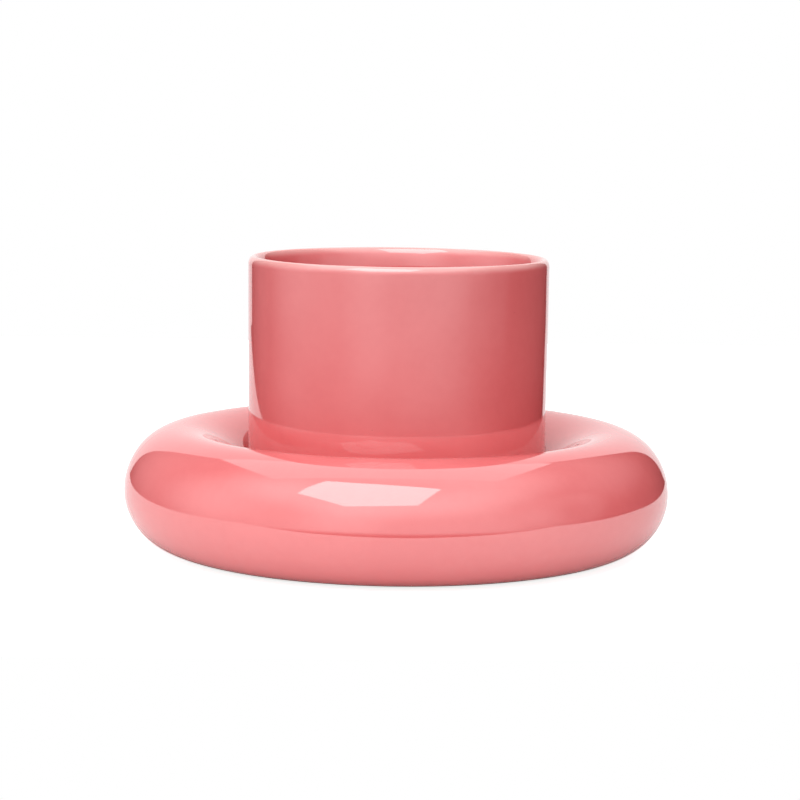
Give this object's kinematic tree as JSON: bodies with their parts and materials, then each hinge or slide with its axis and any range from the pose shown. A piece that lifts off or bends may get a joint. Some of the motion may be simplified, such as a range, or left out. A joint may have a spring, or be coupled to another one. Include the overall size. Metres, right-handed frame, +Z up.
{
  "type": "plant pot with ring saucer",
  "caption": "Straight round glazed clay plant pot with a drain hole, standing loose in a fat ring-shaped saucer that catches its water and stands on rubber bumpers.",
  "frame": {"origin": "centre of the footprint, on the surface that the rubber bumpers stand on", "axes": "+Z up along the common axis of pot and saucer, +Y away from the picture's camera, +X to its right"},
  "size_m": [0.27, 0.27, 0.1445],
  "materials": {
    "pot_glaze": "gloss coral glaze over fired clay, bare on the foot ring",
    "saucer_glaze": "gloss coral glaze over fired clay, bare on the ground base",
    "bumper_rubber": "matt milky silicone rubber"
  },
  "bodies": {
    "saucer": {"ring_saucer": "saucer_glaze", "bumper_front_left": "bumper_rubber", "bumper_front_right": "bumper_rubber", "bumper_back_left": "bumper_rubber", "bumper_back_right": "bumper_rubber"},
    "pot": {"pot": "pot_glaze"}
  },
  "joints": [
    {"name": "pot_lift", "type": "slide", "parent": "saucer", "child": "pot", "axis": [0, 0, 1], "range_m": [0, 0.08]}
  ]
}
